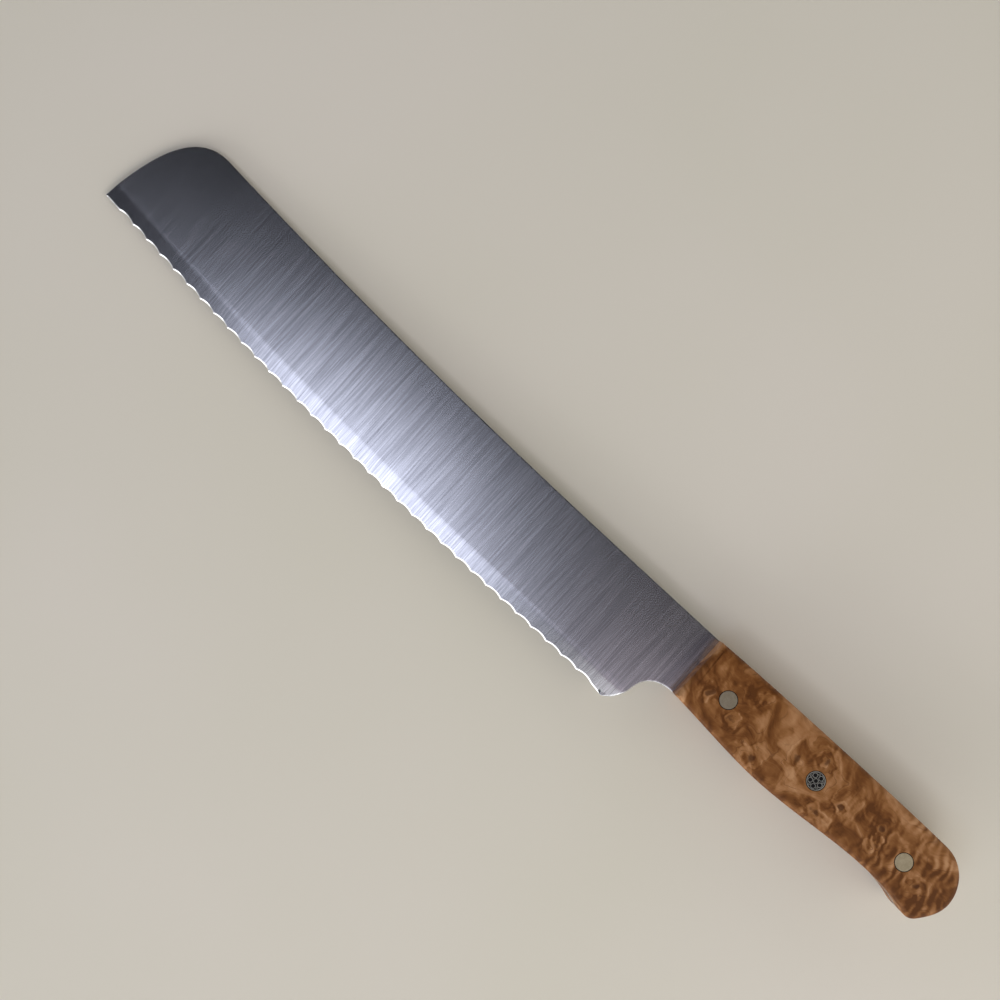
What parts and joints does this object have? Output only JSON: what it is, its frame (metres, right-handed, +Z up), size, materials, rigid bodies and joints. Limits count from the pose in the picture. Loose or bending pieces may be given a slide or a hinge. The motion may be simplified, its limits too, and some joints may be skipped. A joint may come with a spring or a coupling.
{
  "type": "bread knife",
  "caption": "Serrated bread knife with a rounded nose, a full tang and contoured burl wood handle scales held by plain metal pins and a mosaic pin, for slicing loaves.",
  "frame": {"origin": "middle of the footprint, on the table that the knife lies on", "axes": "+X towards the tip, +Y towards the cutting edge, +Z up, out of the upper face; the knife leans nose-down by 1.82 degrees, as it lies on its tip and the front of its handle"},
  "size_m": [0.3754, 0.0484, 0.0225],
  "materials": {
    "blade_steel": "satin, brushed across the blade",
    "burl_wood": "oiled and polished burl, semi-gloss",
    "bond_epoxy": "cured epoxy glue line",
    "pin_metal": "satin, ground flush with the wood",
    "mosaic_metal": "satin, ground flush with the wood",
    "mosaic_resin": "black resin, polished flush"
  },
  "bodies": {
    "root": {"blade": "blade_steel", "upper_scale": "burl_wood", "lower_scale": "burl_wood", "upper_bond_film": "bond_epoxy", "lower_bond_film": "bond_epoxy", "front_pin": "pin_metal", "rear_pin": "pin_metal", "mosaic_outer_tube": "mosaic_metal", "mosaic_centre_tube": "mosaic_metal", "mosaic_petal_1_tube": "mosaic_metal", "mosaic_petal_2_tube": "mosaic_metal", "mosaic_petal_3_tube": "mosaic_metal", "mosaic_petal_4_tube": "mosaic_metal", "mosaic_petal_5_tube": "mosaic_metal", "mosaic_bead_1_tube": "mosaic_metal", "mosaic_bead_2_tube": "mosaic_metal", "mosaic_bead_3_tube": "mosaic_metal", "mosaic_bead_4_tube": "mosaic_metal", "mosaic_bead_5_tube": "mosaic_metal", "mosaic_centre_core": "mosaic_resin", "mosaic_petal_1_core": "mosaic_resin", "mosaic_petal_2_core": "mosaic_resin", "mosaic_petal_3_core": "mosaic_resin", "mosaic_petal_4_core": "mosaic_resin", "mosaic_petal_5_core": "mosaic_resin", "mosaic_bead_1_core": "mosaic_resin", "mosaic_bead_2_core": "mosaic_resin", "mosaic_bead_3_core": "mosaic_resin", "mosaic_bead_4_core": "mosaic_resin", "mosaic_bead_5_core": "mosaic_resin", "mosaic_resin_filling": "mosaic_resin"}
  },
  "joints": []
}
